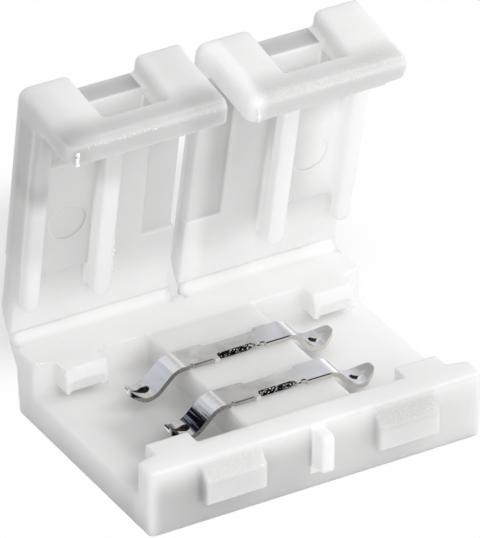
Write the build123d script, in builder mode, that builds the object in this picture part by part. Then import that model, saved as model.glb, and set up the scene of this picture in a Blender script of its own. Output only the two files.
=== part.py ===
from build123d import *
import os
from math import cos, radians, sin

# Solderless connector for 8 mm two-pad led strip, drawn with both lids open.
# Millimetres. +X runs along the strip, +Y points to the hinge side, +Z is up.
# The origin is the centre of the tray's underside.

# ---- tray ----
tray_length = 15.5
half_length = tray_length / 2
front_face = -5.435
rear_face = 5.435
front_height = 3.06
rear_height = 2.97
channel_front = -4.15
channel_rear = 4.0
floor_height = 1.55
corner_round = 0.25
foot_round = 0.15

# the channel opens out at both ends, so that the strip finds its way in
mouth_length = 0.9
mouth_start = half_length - mouth_length
mouth_drop = 0.16
mouth_floor = floor_height - mouth_drop
mouth_spread = 0.24

# raised middle block that carries the contacts
block_half = 2.44
block_top = 2.93

# hold-down tabs on both walls, with room for the strip under them
tab_width = 1.95
tab_inset = 0.92
tab_outer = half_length - tab_inset
tab_inner = tab_outer - tab_width
front_tab_offset = 0.03
tab_gap = 0.3
tab_underside = floor_height + tab_gap
rear_tab_depth = 1.0
rear_tab_slant = 0.2
rear_tab_face = channel_rear - rear_tab_depth
rear_tab_lip = rear_tab_face + rear_tab_slant
rear_tab_step = rear_height - 0.57
tab_slot_edge = 0.2
tab_slot_depth = 0.25
tab_slot_margin = 0.02
front_tab_depth = 0.85
front_tab_face = channel_front + front_tab_depth

# snap catches and the middle rib on the front wall
catch_proud = 0.565
catch_face = front_face - catch_proud
catch_top = front_height - 0.11
catch_shoulder = front_height - 0.81
catch_bottom = 1.15
rib_half = 0.29
rib_proud = 0.915
rib_face = front_face - rib_proud
rib_chamfer = 0.12
rib_top = catch_top - 0.05
rib_bottom = catch_bottom + 0.02
# room left where one piece passes into or along the face of another
root = 0.3

# ---- hinge line and lids ----
hinge_overhang = 0.395
hinge_y = rear_face + hinge_overhang
hinge_depth = 0.12
hinge_z = rear_height - hinge_depth
lip_reach = hinge_y + 0.37
lip_drop = 0.04
lip_top = rear_height - lip_drop
lip_thickness = 0.12
# the rear face leans out, then runs back under the lip
rear_lean_height = 1.3
rear_lean = 0.165
lip_foot_height = 2.08
lip_foot = 0.235
open_left = 80.9
open_right = 79.2

# Lid sizes are counted from the hinge line: reach runs along the lid to its free end,
# level runs outward through its thickness (zero at the height of the hinge line).
lid_outer_level = 1.35
lid_floor_level = 0.43
flange_clearance = 0.255
flange_thickness = 1.09
flange_inner_reach = hinge_y - front_face + flange_clearance
lid_reach = flange_inner_reach + flange_thickness
flange_bottom_level = -2.85
bar_top_level = -1.64
window_top_level = 0.24
notch_depth = 0.8
notch_reach = lid_reach - notch_depth
lid_overhang = 0.01
lid_end = half_length + lid_overhang
lid_end_step = 0.05
lid_end_near_hinge = lid_end - lid_end_step
lid_gap_half = 0.40
left_gap_half_near_hinge = 0.25
left_gap_half_outside = 0.33
right_gap_half_near_hinge = 0.20
right_gap_half_outside = 0.155
lid_middle = (lid_end + lid_gap_half) / 2
end_step_reach = 4.08
gap_step_reach = 3.7
# the lid thins towards the hinge: reach and level of the points of its heel
heel_reach = 0.06
heel_thickness = 0.11
heel_inner_level = 0.36
heel_outer_level = heel_inner_level + heel_thickness
heel_floor_reach = 0.6
heel_toe_reach = 0.29
heel_toe_level = 0.6
heel_slope_reach = 0.63
heel_slope_level = 0.96
heel_full_reach = 1.25
catch_half = 1.42
catch_clearance = 0.04
catch_shift = 0.03
catch_centre = lid_middle - catch_shift
window_half = catch_half + catch_clearance
window_flare = 0.2
window_half_outer = window_half + window_flare
arm_round = 0.28
arm_back_round = 0.3
# the ends of the snap flange are rounder on the -X side of each lid than on the +X side
lid_corner_round = 0.45
lid_corner_crisp = 0.16
bar_chamfer = 0.28
rib_level = -0.52
# the ribs and the pad stop short of the tray's front wall, which is under them when the lid is shut
rib_far_reach = flange_inner_reach - 1.62
rib_tail_level = window_top_level
end_rib_width = 0.74
end_rib_inner = lid_end_near_hinge - end_rib_width
end_rib_near_reach = 2.18
mid_rib_half = 0.39
mid_rib_near_reach = 2.03
pad_level = 0.15
pad_near_reach = 3.4
pad_far_reach = rib_far_reach - 0.9
pocket_depth = 0.12
pocket_outer = 1.86
pocket_near_reach = 3.72
ejector_x = end_rib_inner - 1.32
ejector_reach = 5.93
ejector_radius = 0.85
ejector_depth = 0.04

# ---- contacts ----
sheet = 0.2
contact_half_width = 0.61
contact_rear_y = 1.435
contact_front_y = -1.88
# each arm runs from its bend down to the corner of its bowl and up to the tip;
# the two arms came off the press a little differently
bend_left = 2.95
bowl_left = 4.35
bowl_left_z = 1.65
tip_left = 4.98
tip_left_z = 2.43
bend_right = 2.71
bowl_right = 3.6
bowl_right_z = 1.77
tip_right = 4.69
tip_right_z = 2.36
bend_round = 0.4
bowl_round = 0.88
waist_left = -1.22
waist_right = 1.2
waist_depth = 0.2
tie_left = -0.98
tie_right = 0.75
tie_depth = 0.2
nub_left = -1.24
nub_proud = 0.1
nick_left = -2.22
nick_left_radius = 0.09
nick_right = 1.12
nick_right_radius = 0.15
tip_half_width = 0.24
tip_round = 0.3
spoon_round = 0.5
# plan of the bowl, counted back from its tip
spoon_length = 0.6
hole_length = 0.86
hole_tip = 0.2
hole_radius = 0.23
leg_depth = 0.75
leg_clearance = 0.02


# space above the flared floor at the two channel mouths
with BuildPart() as mouths:
    with BuildSketch(Plane.XY.offset(mouth_floor - 0.1)):
        with BuildLine():
            Polyline(
                (mouth_start, channel_front),
                (half_length + 0.1, channel_front - mouth_spread),
                (half_length + 0.1, channel_rear + mouth_spread),
                (mouth_start, channel_rear),
                close=True,
            )
        make_face()
    extrude(amount=front_height)
    with BuildSketch(Plane.XZ):
        with BuildLine():
            Polyline(
                (mouth_start - 0.1, floor_height),
                (mouth_start + 0.1, floor_height),
                (half_length + 0.1, mouth_floor),
                (half_length + 0.1, front_height + 1),
                (mouth_start - 0.1, front_height + 1),
                close=True,
            )
        make_face()
    extrude(amount=8, both=True, mode=Mode.INTERSECT)
    mirror(about=Plane.YZ)


with BuildPart() as tray:
    # walls, floor and the hinge lip in one section along the strip
    with BuildSketch(Plane.YZ):
        with BuildLine():
            Polyline(
                (front_face, 0),
                (front_face, front_height),
                (channel_front, front_height),
                (channel_front, floor_height),
                (channel_rear, floor_height),
                (channel_rear, rear_height),
                (hinge_y - lip_drop, rear_height),
                (lip_reach, lip_top),
                (lip_reach - lip_drop, lip_top - lip_thickness),
                (rear_face + lip_foot, lip_foot_height),
                (rear_face + rear_lean, rear_lean_height),
                (rear_face, 0),
                close=True,
            )
        make_face()
    extrude(amount=half_length, both=True)
    front_corners = tray.edges().filter_by(Axis.Z).filter_by_position(Axis.Y, front_face - 0.01, front_face + 0.01)
    fillet(front_corners, radius=corner_round)
    add(mouths.part, mode=Mode.SUBTRACT)
    # soft edge round the underside
    fillet(tray.faces().sort_by(Axis.Z)[0].edges(), radius=foot_round)

    # middle block
    with BuildSketch(Plane.XY.offset(floor_height - 0.2)):
        with Locations((0, (channel_front + channel_rear) / 2)):
            Rectangle(2 * block_half, channel_rear - channel_front)
    extrude(amount=block_top - floor_height + 0.2)

    # hold-down tabs on the rear wall
    with BuildSketch(Plane.YZ.offset(tab_inner)):
        with BuildLine():
            Polyline(
                (channel_rear + root, rear_height),
                (rear_tab_lip, rear_height),
                (rear_tab_face, rear_tab_step),
                (rear_tab_face, tab_underside),
                (channel_rear + root, tab_underside),
                close=True,
            )
        make_face()
    extrude(amount=tab_outer - tab_inner)
    # the dark slot in the face of each rear tab
    with BuildSketch(Plane.YZ.offset(tab_inner + tab_slot_edge)):
        with Locations((rear_tab_face, (tab_underside + rear_tab_step) / 2)):
            Rectangle(2 * tab_slot_depth, rear_tab_step - tab_underside - 2 * tab_slot_margin)
    extrude(amount=tab_outer - tab_inner - 2 * tab_slot_edge, mode=Mode.SUBTRACT)

    # hold-down tabs on the front wall
    with BuildSketch(Plane.YZ.offset(tab_inner - front_tab_offset)):
        with BuildLine():
            Polyline(
                (channel_front - root, front_height),
                (front_tab_face - 0.05, front_height),
                (front_tab_face, front_height - 0.06),
                (front_tab_face, tab_underside),
                (channel_front - root, tab_underside),
                close=True,
            )
        make_face()
    extrude(amount=tab_outer - tab_inner)

    # snap catches on the front face
    with BuildSketch(Plane.YZ.offset(catch_centre - catch_half)):
        with BuildLine():
            Polyline(
                (front_face + root, catch_top),
                (front_face, catch_top),
                (catch_face, catch_shoulder),
                (catch_face, catch_bottom),
                (front_face + root, catch_bottom),
                close=True,
            )
        make_face()
    extrude(amount=2 * catch_half)
    # the tabs and the catch of the other half
    mirror(about=Plane.YZ)
    catch_corners = tray.edges().filter_by(Axis.Z).filter_by_position(Axis.Y, catch_face - 0.01, catch_face + 0.01)
    fillet(catch_corners, radius=0.1)

    # middle rib between the lids
    with BuildSketch(Plane.YZ.offset(-rib_half)):
        with BuildLine():
            Polyline(
                (front_face + root, rib_top),
                (rib_face + rib_chamfer, rib_top),
                (rib_face, rib_top - rib_chamfer),
                (rib_face, rib_bottom + rib_chamfer),
                (rib_face + rib_chamfer, rib_bottom),
                (front_face + root, rib_bottom),
                close=True,
            )
        make_face()
    extrude(amount=2 * rib_half)

    # slots in the block for the contacts' legs
    with BuildSketch(Plane.XY.offset(block_top)):
        for y in (contact_rear_y, contact_front_y):
            with Locations(((tie_left + tie_right) / 2, y - contact_half_width + tie_depth + sheet / 2)):
                Rectangle(tie_right - tie_left - 0.3 + 2 * leg_clearance, sheet + 2 * leg_clearance)
    extrude(amount=-leg_depth, mode=Mode.SUBTRACT)
tray.part.label = "tray"


def lid_part(side, opened):
    """One lid, on the left (side -1) or the right (side 1), opened by the given angle from closed."""
    c = cos(radians(opened))
    s = sin(radians(opened))
    along = Vector(0, -c, s)
    outward = Vector(0, s, c)
    hinge = Vector(0, hinge_y, hinge_z)
    gap_near_hinge = right_gap_half_near_hinge if side > 0 else left_gap_half_near_hinge
    gap_outside = right_gap_half_outside if side > 0 else left_gap_half_outside

    def section(x):
        # local x is the reach, local y is the level; extrudes towards -X
        return Plane(origin=hinge + Vector(x, 0, 0), x_dir=along, z_dir=(-1, 0, 0))

    def inside(level):
        # local x is the X of the tray, local y is the reach; extrudes towards the tray
        return Plane(origin=hinge + outward * level, x_dir=(1, 0, 0), z_dir=outward * -1)

    def end_on(reach):
        # local x is the X of the tray, local y is the level; extrudes away from the hinge
        return Plane(origin=hinge + along * reach, x_dir=(1, 0, 0), z_dir=along)

    def span(a, b):
        return side * (a + b) / 2

    with BuildPart() as lid:
        # panel, tapered heel and snap flange in one section
        with BuildSketch(section(max(side * gap_near_hinge, side * lid_end))):
            with BuildLine():
                Polyline(
                    (heel_reach, heel_inner_level),
                    (heel_floor_reach, lid_floor_level),
                    (flange_inner_reach, lid_floor_level),
                    (flange_inner_reach, flange_bottom_level),
                    (lid_reach - bar_chamfer, flange_bottom_level),
                    (lid_reach, flange_bottom_level + bar_chamfer),
                    (lid_reach, lid_outer_level),
                    (heel_full_reach, lid_outer_level),
                    (heel_slope_reach, heel_slope_level),
                    (heel_toe_reach, heel_toe_level),
                    (heel_reach, heel_outer_level),
                    close=True,
                )
            make_face()
        extrude(amount=lid_end - gap_near_hinge)
        # the two lids stand further apart beyond the first third, more so on the inside
        with BuildSketch(end_on(gap_step_reach)):
            with BuildLine():
                Polyline(
                    (0, lid_outer_level + 0.2),
                    (side * gap_outside, lid_outer_level + 0.2),
                    (side * gap_outside, lid_outer_level - 0.2),
                    (side * lid_gap_half, lid_floor_level - 0.1),
                    (side * lid_gap_half, flange_bottom_level - 0.1),
                    (0, flange_bottom_level - 0.1),
                    close=True,
                )
            make_face()
        extrude(amount=lid_reach, mode=Mode.SUBTRACT)
        with BuildSketch(inside(lid_outer_level + 0.2)):
            with Locations((side * lid_end, end_step_reach / 2)):
                Rectangle(2 * (lid_end - lid_end_near_hinge), end_step_reach)
        extrude(amount=lid_outer_level + root - flange_bottom_level, mode=Mode.SUBTRACT)

        # round both ends of the snap flange, from its outer face round to its bottom
        rims = lid.edges().filter_by(lambda e: abs(e.tangent_at(0.5).X) < 0.3)
        fronts = rims.filter_by(lambda e: (e.center() - hinge).dot(along) > lid_reach - bar_chamfer)
        bottoms = rims.filter_by(lambda e: abs((e.center() - hinge).dot(outward) - flange_bottom_level) < 0.01)
        mid = side * lid_middle
        fillet((fronts + bottoms).filter_by(lambda e: e.center().X < mid), radius=lid_corner_round)
        rims = lid.edges().filter_by(lambda e: abs(e.tangent_at(0.5).X) < 0.3 and e.center().X > mid + window_half)
        fronts = rims.filter_by(lambda e: (e.center() - hinge).dot(along) > lid_reach - bar_chamfer)
        bottoms = rims.filter_by(lambda e: abs((e.center() - hinge).dot(outward) - flange_bottom_level) < 0.01)
        fillet(fronts + bottoms, radius=lid_corner_crisp)

        # ribs that press the strip down
        with BuildSketch(inside(lid_floor_level + 0.1)):
            with Locations((mid, (mid_rib_near_reach + mid_rib_half + rib_far_reach) / 2)):
                Rectangle(2 * mid_rib_half, rib_far_reach - mid_rib_near_reach - mid_rib_half)
            with Locations((mid, mid_rib_near_reach + mid_rib_half)):
                Circle(mid_rib_half)
            with Locations((span(end_rib_inner, lid_end_near_hinge), (end_rib_near_reach + rib_far_reach) / 2)):
                RectangleRounded(end_rib_width, rib_far_reach - end_rib_near_reach, 0.2)
            with Locations((span(lid_end - 0.4, lid_end), (end_step_reach + rib_far_reach) / 2)):
                Rectangle(0.4, rib_far_reach - end_step_reach)
        extrude(amount=lid_floor_level + 0.1 - rib_level)

        # low tails that carry both ribs on to the flange, above the front wall; the middle one
        # is as wide as the window and flush with its upper edge
        with BuildSketch(inside(lid_floor_level + 0.1)):
            tail_reach = (rib_far_reach + flange_inner_reach) / 2
            with Locations((mid, tail_reach)):
                Rectangle(2 * window_half, flange_inner_reach + root - rib_far_reach)
            with Locations((span(end_rib_inner, lid_end), tail_reach)):
                Rectangle(lid_end - end_rib_inner, flange_inner_reach + root - rib_far_reach)
        extrude(amount=lid_floor_level + 0.1 - rib_tail_level)

        # flat pad between the two ribs, with the round ejector mark
        with BuildSketch(inside(lid_floor_level + 0.1)):
            pad_inner = lid_middle + mid_rib_half - 0.05
            with Locations((span(pad_inner, end_rib_inner + 0.05), (pad_near_reach + pad_far_reach) / 2)):
                Rectangle(end_rib_inner + 0.1 - pad_inner, pad_far_reach - pad_near_reach)
        extrude(amount=lid_floor_level + 0.1 - pad_level)
        with BuildSketch(inside(pad_level)):
            with Locations((side * ejector_x, ejector_reach)):
                Circle(ejector_radius)
        extrude(amount=-ejector_depth, mode=Mode.SUBTRACT)

        # shallow pocket beside the gap
        with BuildSketch(inside(lid_floor_level)):
            with Locations((span(lid_gap_half / 2, pocket_outer), (pocket_near_reach + flange_inner_reach) / 2)):
                Rectangle(pocket_outer - lid_gap_half / 2, flange_inner_reach - pocket_near_reach)
        extrude(amount=-pocket_depth, mode=Mode.SUBTRACT)

        # window that the catch snaps into
        with BuildSketch(end_on(flange_inner_reach)):
            with Locations((mid, (bar_top_level + window_top_level) / 2)):
                Rectangle(2 * window_half, window_top_level - bar_top_level)
        extrude(amount=2 * flange_thickness, mode=Mode.SUBTRACT)
        # notch above it, open to the outside
        with BuildSketch(end_on(notch_reach)):
            with BuildLine():
                Polyline(
                    (mid - window_half, bar_top_level),
                    (mid + window_half, bar_top_level),
                    (mid + window_half_outer, window_top_level),
                    (mid + window_half_outer, lid_outer_level + 0.1),
                    (mid - window_half, lid_outer_level + 0.1),
                    close=True,
                )
            make_face()
        extrude(amount=2 * flange_thickness, mode=Mode.SUBTRACT)
        # soft edges where the arms meet the notch
        rims = lid.edges().filter_by(lambda e: abs((e.center() - hinge).dot(along) - lid_reach) < 0.01)
        rims = rims.filter_by(lambda e: abs(e.center().X - mid - window_half) < window_flare + 0.05)
        rims = rims.filter_by(lambda e: abs(e.tangent_at(0.5).X) < 0.5)
        fillet(rims, radius=arm_round)
        backs = lid.edges().filter_by(lambda e: abs(abs(e.tangent_at(0.5).dot(along)) - 1) < 1e-4)
        backs = backs.filter_by(lambda e: abs((e.center() - hinge).dot(outward) - lid_outer_level) < 0.01)
        backs = backs.filter_by(lambda e: abs(e.center().X - mid + window_half) < 0.05)
        fillet(backs, radius=arm_back_round)
    return lid.part


lid_left = lid_part(-1, open_left)
lid_left.label = "lid_left"
lid_right = lid_part(1, open_right)
lid_right.label = "lid_right"


def contact_part(middle_y):
    """One stamped and bent contact, its sheet centred on the given Y."""
    plate_level = block_top + sheet / 2
    with BuildPart() as contact:
        # bent sheet seen from the side
        with BuildSketch(Plane.XZ.offset(-middle_y)):
            with BuildLine() as path:
                Polyline(
                    (-tip_left, tip_left_z),
                    (-bowl_left, bowl_left_z),
                    (-bend_left, plate_level),
                    (bend_right, plate_level),
                    (bowl_right, bowl_right_z),
                    (tip_right, tip_right_z),
                )
                fillet(path.vertices().filter_by(lambda v: abs(v.Z - plate_level) < 0.01), radius=bend_round)
                fillet(path.vertices().filter_by(lambda v: v.Z < (bowl_right_z + tip_right_z) / 2), radius=bowl_round)
                offset(amount=sheet / 2, side=Side.BOTH, closed=True)
            make_face()
        extrude(amount=contact_half_width + nub_proud, both=True)

        # outline of the blank seen from above
        with BuildSketch(Plane.XY) as blank:
            with BuildLine():
                front = middle_y - contact_half_width
                rear = middle_y + contact_half_width
                Polyline(
                    (-tip_left, middle_y - tip_half_width),
                    (spoon_length - tip_left, front),
                    (nub_left, front),
                    (nub_left, front - nub_proud),
                    (tie_left, front - nub_proud),
                    (tie_left, front + tie_depth),
                    (tie_right, front + tie_depth),
                    (tie_right + 0.08, front),
                    (tip_right - spoon_length, front),
                    (tip_right, middle_y - tip_half_width),
                    (tip_right, middle_y + tip_half_width),
                    (tip_right - spoon_length, rear),
                    (waist_right + 0.1, rear),
                    (waist_right, rear - waist_depth),
                    (waist_left + 0.1, rear - waist_depth),
                    (waist_left, rear),
                    (spoon_length - tip_left, rear),
                    (-tip_left, middle_y + tip_half_width),
                    close=True,
                )
            make_face()
            tips = [-tip_left, tip_right]
            shoulders = [spoon_length - tip_left, tip_right - spoon_length]
            fillet(blank.vertices().filter_by(lambda v: min(abs(v.X - x) for x in tips) < 0.01), radius=tip_round)
            fillet(
                blank.vertices().filter_by(lambda v: min(abs(v.X - x) for x in shoulders) < 0.01),
                radius=spoon_round,
            )
            # pierced, tapering holes in the two spoons
            for side, tip in ((-1, tip_left), (1, tip_right)):
                hole_end = tip - hole_tip - hole_length + hole_radius
                with BuildLine():
                    Polyline(
                        (side * (tip - hole_tip), middle_y),
                        (side * hole_end, middle_y - hole_radius),
                        (side * hole_end, middle_y + hole_radius),
                        close=True,
                    )
                make_face(mode=Mode.SUBTRACT)
                with Locations((side * hole_end, middle_y)):
                    Circle(hole_radius, mode=Mode.SUBTRACT)
            # small nicks at the ends of the middle part
            with Locations((nick_left, front)):
                Circle(nick_left_radius, mode=Mode.SUBTRACT)
            with Locations((nick_right, front)):
                Circle(nick_right_radius, mode=Mode.SUBTRACT)
        extrude(amount=block_top + 1, mode=Mode.INTERSECT)

        # leg bent down into the block
        with BuildSketch(Plane.XY.offset(block_top + sheet / 2)):
            with Locations(((tie_left + tie_right) / 2, front + tie_depth + sheet / 2)):
                Rectangle(tie_right - tie_left - 0.3, sheet)
        extrude(amount=-leg_depth - sheet / 2 + 0.1)
    return contact.part


contact_rear = contact_part(contact_rear_y)
contact_rear.label = "contact_rear"
contact_front = contact_part(contact_front_y)
contact_front.label = "contact_front"

os.makedirs("parts", exist_ok=True)
export_step(tray.part, "parts/tray.step")
export_step(lid_left, "parts/lid_left.step")
export_step(lid_right, "parts/lid_right.step")
export_step(contact_rear, "parts/contact_rear.step")
export_step(contact_front, "parts/contact_front.step")
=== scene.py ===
import bmesh
import bpy
import random
from math import cos, radians, sin
from mathutils import Matrix, Vector
from mathutils.bvhtree import BVHTree


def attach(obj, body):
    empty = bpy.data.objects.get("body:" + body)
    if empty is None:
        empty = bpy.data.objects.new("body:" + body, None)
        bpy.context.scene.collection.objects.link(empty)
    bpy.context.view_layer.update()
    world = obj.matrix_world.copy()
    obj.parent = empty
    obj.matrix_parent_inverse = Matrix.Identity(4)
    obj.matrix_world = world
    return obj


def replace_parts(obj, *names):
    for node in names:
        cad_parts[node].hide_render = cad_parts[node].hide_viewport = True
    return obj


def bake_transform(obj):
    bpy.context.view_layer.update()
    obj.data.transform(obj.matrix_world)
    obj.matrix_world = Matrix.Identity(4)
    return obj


# Solderless connector for led strip, both lids open. The frame is in metres:
# +X along the strip, +Y towards the hinge, +Z up, origin under the middle of the tray.
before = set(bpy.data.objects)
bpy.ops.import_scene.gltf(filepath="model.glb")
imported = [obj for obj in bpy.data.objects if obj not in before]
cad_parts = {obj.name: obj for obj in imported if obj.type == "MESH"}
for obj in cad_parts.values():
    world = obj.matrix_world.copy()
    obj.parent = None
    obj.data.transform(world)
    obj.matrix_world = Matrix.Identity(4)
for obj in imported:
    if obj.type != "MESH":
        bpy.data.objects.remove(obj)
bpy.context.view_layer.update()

MM = 0.001


def add_object(name, data):
    made = bpy.data.objects.new(name, data)
    bpy.context.scene.collection.objects.link(made)
    return made


def mesh_from(shape, name):
    """The smooth-shaded mesh of a finished bmesh, which is freed."""
    mesh = bpy.data.meshes.new(name)
    shape.to_mesh(mesh)
    shape.free()
    mesh.polygons.foreach_set("use_smooth", [True] * len(mesh.polygons))
    return mesh


# Camera: a long lens from the front left, above. Its numbers were fitted to the photograph.
CAMERA_AZIMUTH = radians(-30.40)
CAMERA_ELEVATION = radians(31.46)
CAMERA_ROLL = radians(0.34)
CAMERA_DISTANCE = 322.05 * MM
CAMERA_RIGHT = -0.3807 * MM
CAMERA_UP = 6.358 * MM
SENSOR_WIDTH = 36.0
# width of the picture and focal length, both in pixels
PICTURE_WIDTH = 480
FOCAL_LENGTH = 7875

forward = Vector((
    -sin(CAMERA_AZIMUTH) * cos(CAMERA_ELEVATION),
    cos(CAMERA_AZIMUTH) * cos(CAMERA_ELEVATION),
    -sin(CAMERA_ELEVATION),
))
level_right = Vector((cos(CAMERA_AZIMUTH), sin(CAMERA_AZIMUTH), 0))
level_up = level_right.cross(forward)
right = level_right * cos(CAMERA_ROLL) + level_up * sin(CAMERA_ROLL)
up = level_up * cos(CAMERA_ROLL) - level_right * sin(CAMERA_ROLL)

camera_data = bpy.data.cameras.new("photo_camera")
camera_data.sensor_fit = "HORIZONTAL"
camera_data.sensor_width = SENSOR_WIDTH
camera_data.lens = FOCAL_LENGTH / PICTURE_WIDTH * SENSOR_WIDTH
camera_data.clip_start = 10 * MM
camera_data.clip_end = 5
camera = add_object("photo_camera", camera_data)
place = right * CAMERA_RIGHT + up * CAMERA_UP - forward * CAMERA_DISTANCE
camera.matrix_world = Matrix((
    (right.x, up.x, -forward.x, place.x),
    (right.y, up.y, -forward.y, place.y),
    (right.z, up.z, -forward.z, place.z),
    (0, 0, 0, 1),
))
bpy.context.scene.camera = camera
bpy.context.scene.view_settings.view_transform = "Standard"


# Shader arithmetic.
class Value:
    """A socket of a node tree that can be used in Python arithmetic."""

    def __init__(self, finish, socket):
        self.finish = finish
        self.socket = socket

    def _math(self, operation, *values):
        return self.finish.node("ShaderNodeMath", {"operation": operation}, *values)

    def __add__(self, other):
        return self._math("ADD", self, other)

    __radd__ = __add__

    def __mul__(self, other):
        return self._math("MULTIPLY", self, other)

    __rmul__ = __mul__

    def __sub__(self, other):
        return self._math("SUBTRACT", self, other)

    def __rsub__(self, other):
        return self._math("SUBTRACT", other, self)

    def __abs__(self):
        return self._math("ABSOLUTE", self)

    def step(self, low, high):
        """0 below low, 1 above high, smooth between them."""
        settings = {"interpolation_type": "SMOOTHSTEP"}
        return self.finish.node("ShaderNodeMapRange", settings, self, low, high, 0.0, 1.0)


class Finish:
    """The nodes of a material, or of the world, under construction."""

    def __init__(self, owner):
        self.owner = owner
        owner.use_nodes = True
        self.tree = owner.node_tree
        self.tree.nodes.clear()

    def node(self, kind, settings=None, *values, out=0, **named):
        """Make a node: its settings first, then its sockets by place or by name."""
        made = self.tree.nodes.new(kind)
        for key, value in (settings or {}).items():
            setattr(made, key, value)
        for index, value in enumerate(values):
            self._feed(made.inputs[index], value)
        for key, value in named.items():
            self._feed(made.inputs[key.replace("_", " ")], value)
        return Value(self, made.outputs[out]) if len(made.outputs) else None

    def _feed(self, socket, value):
        if isinstance(value, Value):
            self.tree.links.new(value.socket, socket)
        elif value is not None:
            socket.default_value = value

    def axes(self, vector):
        return [self.node("ShaderNodeSeparateXYZ", None, vector, out=axis) for axis in "XYZ"]

    def place(self):
        """Object coordinates in millimetres, as a vector and as (x, y, z)."""
        point = self.node("ShaderNodeTexCoord", out="Object")
        scaled = self.node("ShaderNodeVectorMath", {"operation": "SCALE"}, point, Scale=1 / MM)
        return scaled, self.axes(scaled)

    def noise(self, vector, scale, detail, roughness=0.5):
        return self.node("ShaderNodeTexNoise", None, Vector=vector, Scale=scale, Detail=detail,
                         Roughness=roughness)

    def mix(self, factor, a, b):
        """Colour a where factor is 0, colour b where it is 1."""
        # the sockets between the factor and the two colours are for numbers and vectors
        unused = [None] * 5
        return self.node("ShaderNodeMix", {"data_type": "RGBA"}, factor, *unused, a, b, out=2)

    def layered(self, base, *layers):
        """A base colour covered in turn by pairs of a mask and a colour."""
        for mask, colour in layers:
            base = self.mix(mask, base, colour)
        return base

    def surface(self, shader, output="ShaderNodeOutputMaterial"):
        self.node(output, None, shader)
        return self.owner


def new_finish(name):
    """The finish of a new material."""
    return Finish(bpy.data.materials.new(name))


def grey(value, warm=0.0):
    """A grey as a colour; warm takes some of its green and more of its blue away."""
    return (value, value * (1 - 0.4 * warm), value * (1 - warm), 1.0)


def band(value, low, high, soft):
    """1 between low and high, fading over a width of soft."""
    return value.step(low - soft, low + soft) * (1.0 - value.step(high - soft, high + soft))


def toned(base, *parts):
    """A base tone made lighter or darker by pairs of a mask and an amount."""
    for mask, amount in parts:
        base = base + mask * amount
    return base


# Places on the part that the finishes refer to, in millimetres.
HINGE_Y = 5.83
HINGE_Z = 2.85
# how far each lid stands open, in degrees
OPENED = {"left": 80.9, "right": 79.2}
# which way each lid lies along X
SIGN = {"left": -1, "right": 1}
# middle of the catches on the front wall, and of the ribs and windows of the lids
CATCH_X = 4.05
CATCH_HALF = 1.42
# the round mark that the ejector pin left on each lid
EJECTOR_X = 5.65
EJECTOR_REACH = 5.93
EJECTOR_RADIUS = 0.85


# Moulded plastic.
def moulded_white(finish, point, paint, sparkle, shift, groove=0.0, milky=0.85):
    """Milky nylon: soft clouding, a satin skin and fine grain.

    sparkle marks the grainy patches, which also get painted glints, groove the sunk lines, and shift moves
    the pattern along X.
    """
    shifted = finish.node("ShaderNodeVectorMath", {"operation": "ADD"}, point, (shift, 0.0, 0.0))
    cloud = finish.noise(shifted, 0.45, 3.0)
    flow = finish.noise(shifted, 1.6, 3.0)
    grain = finish.noise(shifted, 16.0, 3.0, 0.65)
    pits = finish.noise(shifted, 11.0, 4.0, 0.7)
    # painted glints: light specks in the colour of the grainy patches
    painted_glints = sparkle * pits.step(0.53, 0.66)
    shade = paint * (0.945 + cloud * 0.09 + grain * 0.02) + painted_glints * 0.1
    tone = finish.node("ShaderNodeCombineColor", None, shade, shade * 0.996, shade * 0.992)
    rough = 0.36 + flow * 0.14 + grain * 0.06 - sparkle * 0.08
    height = flow * 0.35 + grain * 0.08 + sparkle * pits * 3.0 - groove
    bumped = finish.node("ShaderNodeBump", None, Strength=0.5, Distance=0.02 * MM, Height=height)
    return finish.node(
        "ShaderNodeBsdfPrincipled", None,
        Base_Color=tone, Roughness=rough, Normal=bumped, IOR=1.46,
        Subsurface_Weight=milky, Subsurface_Radius=(1.0, 1.0, 1.0), Subsurface_Scale=1.4 * MM,
    )


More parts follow.
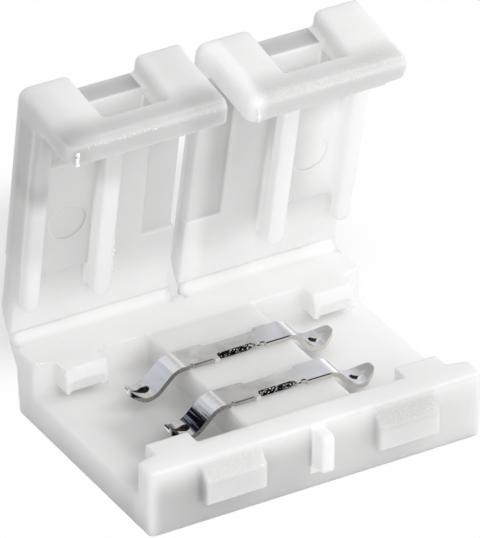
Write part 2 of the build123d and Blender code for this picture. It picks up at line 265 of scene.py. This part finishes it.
def tray_finish():
    finish = new_finish("tray_plastic")
    point, (x, y, z) = finish.place()
    low = 1.0 - z.step(1.6, 2.5)
    channel = band(y, -4.1, 4.0, 0.15)
    block = channel * band(x, -2.45, 2.45, 0.1)
    # painted shade: the thin floor behind the left front tab is painted greyer
    shaded_left_corner = channel * low * (1.0 - x.step(-7.2, -4.6)) * (1.0 - y.step(-3.9, -2.2))
    # painted light on the floor towards its right end
    lit_right_floor = channel * low * x.step(2.6, 5.0)
    # painted shadow under the left arms of the contacts, darkest between the two
    shadow_under_arms = low * band(x, -7.0, -2.5, 0.8) * band(y, -4.6, 1.3, 1.0)
    shadow_between_arms = shadow_under_arms * band(x, -6.4, -4.0, 0.6) * band(y, -2.2, 0.9, 0.8)
    front_wall_top = z.step(2.85, 2.95) * (1.0 - y.step(-3.8, -3.4)) * x.step(0.5, 3.0)
    rear_wall_top = z.step(2.7, 2.9) * y.step(4.0, 5.6)
    left_end_foot = (1.0 - x.step(-7.74, -7.68)) * (1.0 - y.step(1.0, 4.0)) * (1.0 - z.step(0.3, 1.4))

    front = 1.0 - y.step(-5.6, -5.3)
    rib = band(x, -0.32, 0.32, 0.04) * z.step(0.7, 0.8)
    catches = band(abs(x), CATCH_X - CATCH_HALF, CATCH_X + CATCH_HALF, 0.12)
    catch_tops = front * catches * z.step(1.9, 2.4)
    # painted shade on the plain front wall, which darkens towards its left end
    plain = front * (1.0 - rib) * (1.0 - catches * z.step(0.9, 1.3)) * (1.0 - z.step(1.7, 3.0))
    plain = plain * x.step(-7.95, -7.1)
    paint = toned(
        0.86,
        (shaded_left_corner, -0.06), (lit_right_floor, 0.12), (block, -0.09),
        (shadow_under_arms, -0.10), (shadow_between_arms, -0.12),
        (front_wall_top, -0.05), (rear_wall_top, 0.04), (left_end_foot, -0.1),
        # painted shade over the whole front wall
        (front, -0.12), (plain, -0.54), (plain * x.step(-7.0, 7.0), 0.38), (front * rib, 0.24),
        (front * catches, -0.03), (catch_tops, -0.03), (catch_tops * x.step(-1.0, 1.0), -0.08),
    )
    eroded = front * catches * z.step(2.0, 2.35)
    return finish.surface(moulded_white(finish, point, paint, eroded, shift=0.0))


class LidMasks:
    """Where the parts of one open lid are: each mask is 1 on its part and 0 elsewhere.

    x, across, reach and level are places in millimetres.
    """

    def __init__(self, finish, side):
        turn = radians(OPENED[side])
        self.finish = finish
        self.point, (self.x, _, _) = finish.place()
        self.across = abs(self.x)
        from_hinge = finish.node("ShaderNodeVectorMath", {"operation": "SUBTRACT"},
                                 self.point, (0.0, HINGE_Y, HINGE_Z))
        # reach runs along the lid to its free end, level runs outward through its thickness
        self.reach = finish.node("ShaderNodeVectorMath", {"operation": "DOT_PRODUCT"},
                                 from_hinge, (0.0, -cos(turn), sin(turn)), out="Value")
        self.level = finish.node("ShaderNodeVectorMath", {"operation": "DOT_PRODUCT"},
                                 from_hinge, (0.0, sin(turn), cos(turn)), out="Value")
        self.find_body(SIGN[side] * CATCH_X)
        self.find_flange()

    def find_body(self, rib_x):
        reach, level, across = self.reach, self.level, self.across
        self.flange = reach.step(11.2, 11.6)
        self.body = 1.0 - self.flange
        self.window = band(across, 2.5, 5.62, 0.06) * (1.0 - reach.step(11.74, 11.84))
        panel = level.step(-0.1, 0.1) * (1.0 - level.step(0.9, 1.2)) * (1.0 - across.step(7.45, 7.6))
        self.panel = panel * (self.body + self.flange * self.window) * reach.step(0.4, 4.0)
        self.pocket = self.panel * level.step(0.46, 0.52) * (1.0 - across.step(1.8, 1.95))
        self.ribs = (1.0 - level.step(-0.1, 0.1)) * self.body
        lit_rib_side = band(self.x, rib_x - 0.47, rib_x - 0.33, 0.03) * (1.0 - level.step(0.3, 0.45))
        self.lit_rib_side = lit_rib_side * (self.body - self.ribs) * (1.0 - reach.step(5.5, 8.5))
        self.below_lip = self.window * self.panel * reach.step(10.3, 11.1)

    def find_flange(self):
        reach, level, across = self.reach, self.level, self.across
        self.bar = (1.0 - level.step(-2.3, -0.9)) * self.flange
        self.bar_front = (1.0 - level.step(-2.84, -2.68)) * self.flange
        self.bar_top = self.bar * reach.step(12.36, 12.5) * (1.0 - self.bar_front)
        self.ledge = band(across, 2.64, 5.50, 0.03) * band(reach, 11.3, 12.0, 0.12) * level.step(0.26, 0.36)
        corners = band(across, 2.15, 2.62, 0.04) + band(across, 5.5, 6.0, 0.04)
        self.lit_window_corners = corners * band(reach, 10.6, 11.9, 0.2) * level.step(0.1, 0.2)
        arms = self.flange * (1.0 - self.bar) * (1.0 - band(across, 2.4, 5.7, 0.4))
        self.arms_below = arms * (1.0 - reach.step(12.2, 12.5))

    def tones(self):
        """Painted light and shade: thin walls let the light through and are painted greyer, thick ribs are
        painted glowing; all pales near the hinge.
        """
        return (
            # painted shade in the thin panel and its pocket, painted glow on the ribs, painted light on the
            # shaded left side of the rib
            (self.panel, -0.13), (self.pocket, -0.04), (self.ribs, 0.17), (self.lit_rib_side, 0.2),
            # painted shadow on the panel under the flange
            (self.panel * self.reach.step(8.2, 10.6) * (1.0 - self.window), -0.09),
            (1.0 - self.reach.step(0.3, 3.2), 0.07),
            # painted shade on the thin ledge under the window, painted light in the window's shaded corners
            (self.ledge, -0.28), (self.lit_window_corners, 0.1), (self.arms_below, -0.06),
            # painted shade over the bar's brightly lit top edge
            (self.bar, -0.12), (self.bar_top, -0.13), (self.bar_front, -0.12),
        )

    def left_tones(self):
        x, reach, level, across = self.x, self.reach, self.level, self.across
        # painted shadow near the free end of the end rib, weaker on the end face of the lid
        stain_and_shadow = across.step(6.85, 7.0) * self.body * (1.0 - level.step(0.7, 1.3))
        stain_and_shadow = stain_and_shadow * (1.0 - level.step(-0.4, 0.1) * 0.62)
        middle_rib = self.ribs * (1.0 - across.step(6.5, 6.8))
        end_face = across.step(7.55, 7.72) * self.body * level.step(-0.1, 0.3)
        outer_edge = across.step(7.3, 7.6) * self.body * level.step(0.6, 1.0)
        left_end = self.flange * (1.0 - x.step(-7.4, -6.2))
        left_end_middle = self.flange * (1.0 - x.step(-7.2, -6.0)) * band(level, -2.5, -0.8, 0.5)
        return (
            (stain_and_shadow * band(reach, 7.8, 12.5, 0.7), -0.44), (stain_and_shadow * band(reach, 4.3, 8.1, 1.2), -0.25),
            (middle_rib * reach.step(6.9, 8.7), -0.3), (self.below_lip, 0.09),
            # painted shade on the left end of the lid and of its flange, which face away from the light
            (end_face, -0.05), (outer_edge, -0.07), (left_end, -0.08), (left_end_middle, -0.02),
            (self.flange * x.step(-2.8, -1.6), -0.07),
        )

    def right_tones(self):
        x, reach, level = self.x, self.reach, self.level
        near_hinge = (1.0 - level.step(0.9, 1.2)) * self.body * band(reach, 1.4, 2.8, 0.5)
        # painted glow: the panel is lighter towards its right end, most of all half way along the lid
        glow = self.panel * x.step(4.7, 7.1) * reach.step(1.0, 6.0) * (1.0 - reach.step(7.2, 9.0) * 0.75)
        left_edge = 1.0 - x.step(0.5, 1.4)
        return (
            (near_hinge * x.step(1.5, 4.0), 0.07), (glow, 0.33),
            (self.panel * (1.0 - x.step(2.2, 3.2)) * reach.step(4.0, 7.0), -0.04),
            (left_edge, 0.15), (left_edge * self.flange, 0.16),
            (left_edge * self.flange * level.step(-2.8, -0.8), 0.14),
            # painted shade in the pocket
            (self.bar_front, 0.05), (self.bar_top, 0.05), (self.pocket, -0.07), (self.below_lip, 0.16),
        )

    def ejector_ring(self, middle_x):
        """The ring round the ejector mark, and the side of it that lies in shade."""
        aside, along = self.x - middle_x, self.reach - EJECTOR_REACH
        offset = self.finish.node("ShaderNodeCombineXYZ", None, aside, along, 0.0)
        radius = self.finish.node("ShaderNodeVectorMath", {"operation": "LENGTH"}, offset, out="Value")
        ring = band(radius, EJECTOR_RADIUS - 0.05, EJECTOR_RADIUS + 0.02, 0.03) * self.panel
        return ring, ring * (aside - along).step(-0.3, 0.9)

    def eroded(self, side):
        """Grainy patches, as eroded steel leaves them, which carry painted glints: the bar's edge and, on
        the right lid, the arms.
        """
        bar_edge = band(self.level, -2.9, -2.2, 0.12) * self.reach.step(11.9, 12.3)
        bar_edge = bar_edge * band(self.across, 1.2, 6.8, 0.5)
        if side == "left":
            return bar_edge * 0.5
        arms = self.reach.step(12.35, 12.5) * (1.0 - band(self.across, 2.6, 5.6, 0.3))
        return bar_edge + arms * 0.5


def lid_finish(side):
    finish = new_finish(side + "_lid_plastic")
    lid = LidMasks(finish, side)
    own_tones = lid.left_tones() if side == "left" else lid.right_tones()
    ring, ring_shade = lid.ejector_ring(SIGN[side] * EJECTOR_X)
    paint = toned(0.83, *lid.tones(), *own_tones, (ring, 0.06), (ring_shade, -0.22))
    # each lid has its own stretch of the pattern
    shift = 40.0 + 25.0 * SIGN[side]
    white = moulded_white(finish, lid.point, paint, lid.eroded(side), shift, groove=ring * 1.5)
    return finish.surface(white)


def thin_finish(name, tone):
    """The same plastic where it is thin: the hinge film, flash and crumbs at the parting lines."""
    finish = new_finish(name)
    point, _ = finish.place()
    return finish.surface(moulded_white(finish, point, tone, sparkle=0.0, shift=7.0, milky=0.0))


# Plated sheet.
# half the width of a contact strip, in millimetres
STRIP_HALF = 0.61
WHITE = (1.0, 1.0, 1.0, 1.0)
ARM_REFLECTION = (0.76, 0.78, 0.86, 1.0)
RIGHT_GREY = (0.64, 0.64, 0.69, 1.0)
HIGHLIGHT_WHITE = (0.95, 0.96, 1.0, 1.0)
END_HIGHLIGHT = (1.0, 1.0, 0.98, 1.0)
STREAK_BLACK = (0.006, 0.006, 0.016, 1.0)
STREAK_BLUE = (0.26, 0.27, 0.35, 1.0)
RUST = (0.10, 0.06, 0.035, 1.0)


def plated_steel(name, middle_y, marks):
    """Nickel-plated strip: drawn surface on the faces, torn and dull along the sheared edges."""
    finish = new_finish(name)
    point, (x, y, z) = finish.place()
    lengthways, sideways, upward = finish.axes(finish.node("ShaderNodeTexCoord", out="Normal"))
    across = finish.node("ShaderNodeMapping", None, Vector=point, Scale=(13.0, 0.5, 13.0))
    lines = finish.noise(across, 1.0, 2.0, 0.6)
    drawn = finish.node("ShaderNodeMapping", None, Vector=point, Scale=(0.8, 8.0, 8.0))
    grain = finish.noise(drawn, 1.6, 4.0, 0.65)
    stain_and_shadow = finish.noise(point, 1.3, 4.0, 0.6)
    torn = finish.noise(point, 14.0, 4.0, 0.75)
    specks = finish.noise(point, 11.0, 3.0, 0.7)

    # the flats are a soft warm grey; the arms are painted a cooler grey, as the reflection they show, and
    # the bends carry painted highlights
    arm = band(upward, 0.5, 0.93, 0.05) * (1.0 - x.step(-0.5, 0.5))
    crest_highlight = band(upward, 0.86, 0.985, 0.03) * band(abs(x), 2.5, 3.3, 0.1)
    # painted highlights along the creases where the bends start, broken up by the torn grain
    crease = (band(x, -2.66, -2.52, 0.03) + band(x, 2.55, 2.74, 0.03)) * torn.step(0.25, 0.5)
    scratch = band(x, 2.79, 2.86, 0.015) * torn.step(0.4, 0.55) * marks
    # dark streaks down the left arm, which end in a wavering line below the bend
    wavering = z + lines * 0.3 - stain_and_shadow * 0.3
    streaked = arm * marks * (1.0 - wavering.step(2.62, 2.78)) * z.step(2.05, 2.2)
    between_streaks = (lines + (y - middle_y) * 0.12).step(0.51, 0.61)
    streaks = finish.mix(between_streaks, STREAK_BLACK, STREAK_BLUE)
    face = finish.layered(
        finish.mix(stain_and_shadow.step(0.42, 0.72), grey(0.69, 0.01), grey(0.55, 0.02)),
        (arm, ARM_REFLECTION),
        (x.step(0.6, 1.6), RIGHT_GREY),
        (x.step(3.9, 4.6), grey(0.50, 0.02)),
        (crest_highlight * (0.3 + grain * 0.9), HIGHLIGHT_WHITE),
        (crease, WHITE),
        (scratch, grey(0.08, 0.1)),
        (streaked, streaks),
        # painted highlight on the ends of the strip
        (abs(lengthways).step(0.86, 0.95), END_HIGHLIGHT),
    )

    cut = abs(sideways).step(0.55, 0.8)
    top_line = z.step(3.045, 3.07) * band(x, -2.2, 2.4, 0.1)
    spoon_shade = band(x, -4.92, -4.52, 0.04) * z.step(2.15, 2.25)
    edge = finish.layered(
        finish.mix(torn.step(0.40, 0.6), grey(0.26, 0.12), grey(0.42, 0.14)),
        (x.step(-2.7, -0.9), grey(0.72, 0.12)),
        (top_line, grey(0.05, 0.1)),
        (spoon_shade, grey(0.006, 0.1)),
        (band(x, -1.2, -0.94, 0.03), grey(0.85, 0.14)),
    )
    # where the carrier strip was sheared off: black and torn, with bright burrs
    torn_off = band(x, -0.93, 0.70, 0.03) * (1.0 - (y - (middle_y - STRIP_HALF)).step(0.26, 0.29))
    burrs = finish.mix(specks.step(0.55, 0.63), grey(0.004, 0.1), grey(0.9, 0.02))
    tone = finish.layered(face, (cut, edge), (torn_off, burrs))
    rough = 0.15 + grain * 0.14 + crest_highlight * 0.15 + cut * 0.2 + torn_off * 0.2
    height = grain * 0.3 + lines * arm * marks * 0.8 + torn * cut * 1.2 + torn_off * torn * 3.0
    bumped = finish.node("ShaderNodeBump", None, Strength=0.5, Distance=0.012 * MM, Height=height)
    return finish.surface(finish.node(
        "ShaderNodeBsdfPrincipled", None,
        Base_Color=tone, Roughness=rough, Normal=bumped, Metallic=1.0,
    ))


def well_finish(name, middle_y):
    """The pierced wells, painted with shade and light: black with rust in the left spoon, a small dark
    mouth of painted shade and a painted highlight on the lip in the right.
    """
    finish = new_finish(name)
    point, (x, y, _) = finish.place()
    aside = y - middle_y
    rust = finish.noise(point, 4.0, 3.0, 0.6)
    # painted shade: the left well is black, with rust
    left_well = finish.mix(rust.step(0.5, 0.75), grey(0.008, 0.2), RUST)
    # painted shade in the mouth of the right well and a painted highlight on its lip
    shaded_mouth = x.step(3.66, 3.70) * (1.0 - (x + abs(aside) * 0.9).step(4.02, 4.06))
    lip = band(aside, -0.26, -0.06, 0.05) * band(x, 3.80, 4.30, 0.06)
    right_well = finish.layered(grey(0.66, 0.02), (lip, WHITE), (shaded_mouth, grey(0.006, 0.2)))
    tone = finish.mix(x.step(-0.5, 0.5), left_well, right_well)
    bumped = finish.node("ShaderNodeBump", None, Strength=0.4, Distance=0.01 * MM, Height=rust)
    return finish.surface(finish.node(
        "ShaderNodeBsdfPrincipled", None,
        Base_Color=tone, Roughness=0.22 + rust * 0.2, Normal=bumped, Metallic=1.0,
    ))


tray_plastic = tray_finish()
lid_plastics = {side: lid_finish(side) for side in ("left", "right")}
flash_plastic = thin_finish("flash_plastic", 0.97)
film_plastic = thin_finish("hinge_plastic", 0.9)


# Softened copies of the moulded parts.
TRAY_VOXEL = 0.08 * MM
LID_VOXEL = 0.06 * MM
TRAY_PASSES = 3
LID_PASSES = 4
ZONE_PASSES = 40
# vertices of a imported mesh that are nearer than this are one
MERGE_DISTANCE = 0.0005 * MM


def add_piece(name, mesh, finish, body=None):
    """Add one piece with its finish, riding on a body if one is named."""
    mesh.name = name
    mesh.materials.clear()
    mesh.materials.append(finish)
    piece = add_object(name, mesh)
    if body:
        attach(piece, body)
    return piece


def merged(node):
    """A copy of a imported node, its loose triangles joined."""
    shape = bmesh.new()
    shape.from_mesh(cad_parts[node].data)
    bmesh.ops.remove_doubles(shape, verts=shape.verts, dist=MERGE_DISTANCE)
    return shape


def rounded_skin(shape, voxel, passes, turn):
    """A fine skin over a solid, its edges rounded as a mould leaves them; cut square to the turned part."""
    about = Matrix.Rotation(turn, 4, "X")
    bmesh.ops.transform(shape, matrix=about.inverted(), verts=shape.verts)
    raw = mesh_from(shape, "raw")
    holder = add_object("raw", raw)
    skin = holder.modifiers.new("skin", "REMESH")
    skin.mode = "VOXEL"
    skin.voxel_size = voxel
    skin.use_smooth_shade = True
    soft = holder.modifiers.new("soft", "SMOOTH")
    soft.factor = 0.5
    soft.iterations = passes
    graph = bpy.context.evaluated_depsgraph_get()
    done = bpy.data.meshes.new_from_object(holder.evaluated_get(graph))
    bpy.data.objects.remove(holder)
    bpy.data.meshes.remove(raw)
    done.transform(about)
    return done


def moulded(node, name, body, finish, voxel, passes, turn=0.0, blocks=(), zones=()):
    """Stand-in for a moulded node; blocks are joined to it, zones are rounded more strongly."""
    shape = merged(node)
    for corners in blocks:
        add_block(shape, corners)
    mesh = rounded_skin(shape, voxel, passes, turn)
    shape = bmesh.new()
    shape.from_mesh(mesh)
    for inside in zones:
        chosen = [vert for vert in shape.verts if inside(vert.co)]
        for _ in range(ZONE_PASSES):
            bmesh.ops.smooth_vert(shape, verts=chosen, factor=0.5,
                                  use_axis_x=True, use_axis_y=True, use_axis_z=True)
    shape.to_mesh(mesh)
    shape.free()
    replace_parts(add_piece(name, mesh, finish, body), node)


def add_block(shape, corners):
    """A closed block from eight corners, four below and four above in the same order."""
    low = [shape.verts.new(corner) for corner in corners[:4]]
    high = [shape.verts.new(corner) for corner in corners[4:]]
    faces = [shape.faces.new(low[::-1]), shape.faces.new(high)]
    for index in range(4):
        after = (index + 1) % 4
        faces.append(shape.faces.new((low[index], low[after], high[after], high[index])))
    bmesh.ops.recalc_face_normals(shape, faces=faces)


def lid_point(side, x, reach, level):
    """A place on an open lid, in metres, from its X, its reach from the hinge and its level."""
    turn = radians(OPENED[side])
    return Vector((
        x,
        HINGE_Y - cos(turn) * reach + sin(turn) * level,
        HINGE_Z + sin(turn) * reach + cos(turn) * level,
    )) * MM


def lid_place(side, spot):
    """X, reach and level, in millimetres, of a point in metres."""
    turn = radians(OPENED[side])
    y, z = spot.y / MM - HINGE_Y, spot.z / MM - HINGE_Z
    return spot.x / MM, -cos(turn) * y + sin(turn) * z, sin(turn) * y + cos(turn) * z


def lid_block(side, xs, reaches, levels):
    """The eight corners of a block that lies square to an open lid."""
    (near_x, far_x), (near_reach, far_reach) = xs, reaches
    around = ((near_x, near_reach), (far_x, near_reach), (far_x, far_reach), (near_x, far_reach))
    return [lid_point(side, x, reach, level) for level in levels for x, reach in around]


def end_rib_zone(side):
    """The end rib, from its round foot to where it swells into the snap flange."""
    def inside(spot):
        x, reach, level = lid_place(side, spot)
        return abs(x) > 6.8 and level < 0.9 and 1.8 < reach < 11.9
    return inside


def flange_zone(side):
    """The rounded end of the snap flange, on the left of each lid."""
    left_end = -7.76 if side == "left" else 0.3

    def inside(spot):
        x, reach, level = lid_place(side, spot)
        return x - left_end < 1.3 and level < 1.0 and reach > 11.6
    return inside


moulded("tray", "tray_moulding", "base", tray_plastic, TRAY_VOXEL, TRAY_PASSES)
for side, sign in SIGN.items():
    # the end rib swells into the snap flange
    swell = lid_block(side, sorted((sign * 6.97, sign * 7.72)), (9.6, 11.8), (-0.52, 0.9))
    # the ledge under the window runs on a little past its right end
    window_end = sign * CATCH_X + 1.4
    ledge = lid_block(side, (window_end, window_end + 0.85), (10.2, 11.6), (0.24, 0.9))
    moulded("lid_" + side, side + "_lid_moulding", side + "_lid", lid_plastics[side],
            LID_VOXEL, LID_PASSES, turn=radians(-OPENED[side]), blocks=(swell, ledge),
            zones=(end_rib_zone(side), flange_zone(side)))


# Contacts: the CAD solids with smooth bends, and dishes under the holes of their spoons that carry painted
# shade.
# start and end of each well along X, and its depth below the upper face
WELLS = ((-4.80, -3.86, 0.09), (3.58, 4.54, 0.045))
WELL_HALF = 0.25
WELL_CROWN = 0.03
# where the upper face is looked for: beside the holes, from above them
PROBE_ASIDE = 0.27
PROBE_HEIGHT = 4
# sheared sides turn sharply from the faces, bends don't
SHARP_ANGLE = radians(32)


def contact_strip(which, shape, middle_y, marks):
    """The strip itself: flat stretches are joined to single faces, bends are shaded smooth."""
    bmesh.ops.dissolve_limit(shape, angle_limit=radians(0.5), verts=shape.verts, edges=shape.edges,
                             use_dissolve_boundaries=False, delimit=set())
    mesh = mesh_from(shape, "strip")
    mesh.set_sharp_from_angle(angle=SHARP_ANGLE)
    plating = plated_steel(which + "_contact_plating", middle_y, marks)
    strip = add_piece(which + "_contact_strip", mesh, plating, "base")
    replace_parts(strip, "contact_" + which)


def contact_wells(which, surface, middle_y):
    """Shallow dishes a little below the upper face, hidden in the sheet outside the holes, which show
    painted shade through them.
    """
    wells = bmesh.new()
    down = Vector((0, 0, -1))
    for start, end, depth in WELLS:
        for vert in bmesh.ops.create_grid(wells, x_segments=12, y_segments=10, size=1)["verts"]:
            along, aside = vert.co.x, vert.co.y
            x = (start + end) / 2 + (end - start) / 2 * along
            top = surface.ray_cast(Vector((x, middle_y + PROBE_ASIDE, PROBE_HEIGHT)) * MM, down)[0]
            y = middle_y + WELL_HALF * aside
            vert.co = (x * MM, y * MM, top.z - (depth - WELL_CROWN * aside ** 2) * MM)
    metal = well_finish(which + "_well_metal", middle_y)
    add_piece(which + "_contact_wells", mesh_from(wells, "wells"), metal, "base")


# the middle of each contact along Y, and how strongly its streaks and scratch show
for which, middle_y, marks in (("rear", 1.435, 0.1), ("front", -1.88, 1.0)):
    contact = merged("contact_" + which)
    contact_surface = BVHTree.FromBMesh(contact)
    contact_strip(which, contact, middle_y, marks)
    contact_wells(which, contact_surface, middle_y)


# Living hinge: a thin web of the same plastic that bends between tray and lid.
FILLET_BACK = -0.066
FILLET_ABOVE = 0.471
FILLET_RADIUS = 0.35
# lengthwise cuts through the web
WEB_CUTS = 20


def at_hinge(x, back, above):
    """A place in metres, from its X and how far it is back from and above the hinge line."""
    return x * MM, (HINGE_Y + back) * MM, (HINGE_Z + above) * MM


def web_outline():
    """The web seen from its end, as distances back from and above the hinge line."""
    front = [(-0.32, 0.108), (-0.2, 0.1205)]
    # a soft fillet that turns up into the lid
    fillet = []
    for step in range(9):
        angle = radians(-90 + 81 * step / 8)
        fillet.append((FILLET_BACK + FILLET_RADIUS * cos(angle), FILLET_ABOVE + FILLET_RADIUS * sin(angle)))
    inside_lid = [(0.31, 0.6), (0.36, 0.56)]
    behind_crease = [(0.43, 0.36), (0.455, 0.24), (0.46, 0.13), (0.43, 0.04), (0.37, -0.01)]
    underside = [(0.0, 0.03), (-0.3, 0.08)]
    return front + fillet + inside_lid + behind_crease + underside


def hinge_film(side, x_near, x_far):
    """The web of one lid, from the tray at its start to the lid at its end."""
    shape = bmesh.new()
    end_face = shape.faces.new([shape.verts.new(at_hinge(x_near, *spot)) for spot in web_outline()])
    grown = bmesh.ops.extrude_face_region(shape, geom=[end_face])["geom"]
    moved = [part for part in grown if isinstance(part, bmesh.types.BMVert)]
    bmesh.ops.translate(shape, verts=moved, vec=((x_far - x_near) * MM, 0, 0))
    long_edges = [edge for edge in shape.edges if abs(edge.verts[0].co.x - edge.verts[1].co.x) > MM]
    bmesh.ops.subdivide_edges(shape, edges=long_edges, cuts=WEB_CUTS, use_grid_fill=True)
    bmesh.ops.recalc_face_normals(shape, faces=shape.faces)
    film = add_piece(side + "_hinge_film", mesh_from(shape, "film"), film_plastic)
    film.visible_shadow = False
    film.visible_diffuse = False
    at_hinge(0, 0.10, 0.10)
    at_hinge(0, 0.34, 0.42)
    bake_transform(film)


hinge_film("left", -7.68, -0.27)
hinge_film("right", 0.22, 7.68)


# Flash and crumbs left by the mould.
def crumbs(shape, draw, line, count, spread, size):
    """Small uneven grains scattered along a line of points, in metres."""
    for _ in range(count):
        index = draw.randrange(len(line) - 1)
        spot = line[index].lerp(line[index + 1], draw.random())
        spot = spot + Vector([draw.gauss(0, spread) * MM for _ in range(3)])
        stretch = Matrix.Diagonal([draw.uniform(0.5, 1.5) for _ in range(3)]).to_4x4()
        turn = Matrix.Rotation(draw.uniform(0, 6.28), 4, Vector([draw.uniform(-1, 1) for _ in range(3)]))
        radius = draw.uniform(0.45, 1.0) * size * MM
        bmesh.ops.create_icosphere(shape, subdivisions=1, radius=radius,
                                   matrix=Matrix.Translation(spot) @ turn @ stretch)


def flash_piece(name, body, seed, runs):
    """Crumbs along several lines: each run has its line, the count, and scatter and size in millimetres."""
    shape = bmesh.new()
    draw = random.Random(seed)
    for run in runs:
        crumbs(shape, draw, *run)
    add_piece(name, mesh_from(shape, name), flash_plastic, body)


def tray_line(*points):
    """Points given in millimetres, in metres."""
    return [Vector(point) * MM for point in points]


# just under the top of the rear wall
REAR_TOP = 2.955
flash_piece("tray_flash", body="base", seed=3, runs=(
    (tray_line((-7.68, 4.22, REAR_TOP), (-6.9, 4.06, REAR_TOP)), 30, 0.02, 0.05),
    (tray_line((-6.83, 4.0, REAR_TOP), (-6.83, 3.16, REAR_TOP), (-6.35, 3.14, REAR_TOP)),
     34, 0.015, 0.05),
    (tray_line((-4.86, 4.02, REAR_TOP), (-3.9, 4.0, REAR_TOP)), 26, 0.02, 0.045),
    (tray_line((-2.75, 4.0, REAR_TOP), (-2.45, 3.97, REAR_TOP)), 14, 0.02, 0.045),
    (tray_line((-1.6, -5.44, 2.84), (-1.38, -5.44, 2.62), (-1.2, -5.44, 2.8)), 12, 0.03, 0.04),
    (tray_line((-7.7, -4.25, 3.03), (-7.71, -5.2, 3.0), (-7.55, -5.38, 2.95)), 14, 0.02, 0.03),
    (tray_line((-6.2, -5.42, 3.0), (-5.3, -5.42, 3.0)), 8, 0.03, 0.03),
    (tray_line((1.2, -5.42, 3.0), (2.2, -5.42, 3.0)), 10, 0.03, 0.03),
))
# on the lids each line is given by X, reach and level of its two ends
for side, seed, runs in (
    ("left", 11, (
        ((-6.9, 12.36, -2.80), (-3.4, 12.36, -2.80), 40, 0.03, 0.055),
        ((-3.4, 12.36, -2.80), (-1.0, 12.36, -2.80), 10, 0.03, 0.03),
        ((-7.30, 12.2, -2.80), (-7.28, 11.55, -2.84), 16, 0.025, 0.1),
        ((-3.68, 2.9, -0.46), (-3.68, 4.9, -0.46), 26, 0.02, 0.05),
        ((-2.3, 12.44, 1.24), (-1.2, 12.46, 1.24), 16, 0.03, 0.035),
    )),
    ("right", 12, (
        ((3.3, 12.46, -2.70), (5.9, 12.46, -2.70), 40, 0.07, 0.035),
        ((1.0, 12.40, -2.78), (7.2, 12.40, -2.78), 26, 0.04, 0.03),
        ((0.80, 12.2, -2.80), (0.84, 11.55, -2.84), 12, 0.02, 0.08),
        ((4.44, 2.6, -0.46), (4.44, 4.4, -0.46), 20, 0.02, 0.05),
        ((0.9, 12.44, 1.24), (2.2, 12.46, 1.24), 18, 0.03, 0.035),
        ((5.9, 12.44, 1.24), (7.2, 12.46, 1.24), 18, 0.03, 0.035),
        ((2.75, 12.55, -1.6), (2.62, 12.55, 1.2), 8, 0.03, 0.03),
    )),
):
    lid_runs = [((lid_point(side, *start), lid_point(side, *end)), count, spread, size)
                for start, end, count, spread, size in runs]
    flash_piece(side + "_lid_flash", side + "_lid", seed, lid_runs)


# Floor, backdrop and light, in metres.
FLOOR_SIZE = 1.2
# the floor lies this far under the tray
FLOOR_DROP = 0.01 * MM


def rays(finish, *kinds):
    """For each kind of ray, a value that is 1 where such a ray meets the surface."""
    return [finish.node("ShaderNodeLightPath", out=f"Is {kind} Ray") for kind in kinds]


def stage_white(name):
    """White to the camera and to metal and glass, a plain pale floor to all other light."""
    finish = new_finish(name)
    camera_ray, glossy_ray, transmission_ray = rays(finish, "Camera", "Glossy", "Transmission")
    seen = camera_ray + glossy_ray + transmission_ray
    shown = finish.node("ShaderNodeMath", {"operation": "MINIMUM"}, seen, 1.0)
    # the floor close behind the lids lies in their shadow; it is seen only through the gap
    _, (x, y, _) = finish.place()
    behind = band(y, 9.0, 21.0, 2.0) * band(x, -7.0, 10.0, 3.0)
    plain = finish.node("ShaderNodeBsdfDiffuse", None, Color=(0.9, 0.9, 0.9, 1.0))
    glow = finish.node("ShaderNodeEmission", None, Color=WHITE, Strength=1.0)
    mixed = finish.node("ShaderNodeMixShader", None, shown * (0.97 - behind * 0.6), plain, glow)
    return finish.surface(mixed)


def flat_square(name, size, matrix, finish):
    """A square sheet on the stage."""
    shape = bmesh.new()
    bmesh.ops.create_grid(shape, x_segments=1, y_segments=1, size=size / 2)
    bmesh.ops.transform(shape, matrix=matrix, verts=shape.verts)
    mesh = mesh_from(shape, name)
    mesh.materials.append(finish)
    sheet = add_object(name, mesh)
    return sheet


def dark_card(name, place, size):
    """A black card beside the set: metal mirrors it, the camera never sees it."""
    finish = new_finish(name + "_black")
    black = finish.surface(finish.node("ShaderNodeBsdfDiffuse", None, Color=(0.02, 0.02, 0.025, 1.0)))
    aim = Vector(place).to_track_quat("Z", "Y").to_matrix().to_4x4()
    card = flat_square(name, size, Matrix.Translation(place) @ aim, black)
    card.visible_camera = False
    card.visible_shadow = False
    card.visible_diffuse = False


def white_room():
    """Soft light from all round; the camera and polished metal see it as pure white."""
    world = bpy.data.worlds.new("studio")
    bpy.context.scene.world = world
    finish = Finish(world)
    seen = finish.node("ShaderNodeMath", {"operation": "MAXIMUM"}, *rays(finish, "Camera", "Glossy"))
    room = finish.node("ShaderNodeBackground", None, Color=WHITE, Strength=0.6)
    shown = finish.node("ShaderNodeBackground", None, Color=WHITE, Strength=1.0)
    mixed = finish.node("ShaderNodeMixShader", None, seen, room, shown)
    finish.surface(mixed, "ShaderNodeOutputWorld")


def softbox(name, place, target, size, power):
    """A square lamp that faces its target; its power is in watts."""
    lamp_data = bpy.data.lights.new(name, "AREA")
    lamp_data.shape = "SQUARE"
    lamp_data.size = size
    lamp_data.energy = power
    lamp = add_object(name, lamp_data)
    lamp.location = place
    lamp.rotation_euler = (Vector(target) - Vector(place)).to_track_quat("-Z", "Y").to_euler()


flat_square("floor", FLOOR_SIZE, Matrix.Translation((0, 0, -FLOOR_DROP)), stage_white("floor_white"))
dark_card("card_rear_left", (-0.045, 0.055, 0.026), 0.036)
white_room()
softbox("key_right_above", (0.065, -0.03, 0.075), target=(0, 0, 0.004), size=0.05, power=0.03)
softbox("front_fill", (-0.02, -0.11, 0.06), target=(0, 0, 0.006), size=0.08, power=0.051)
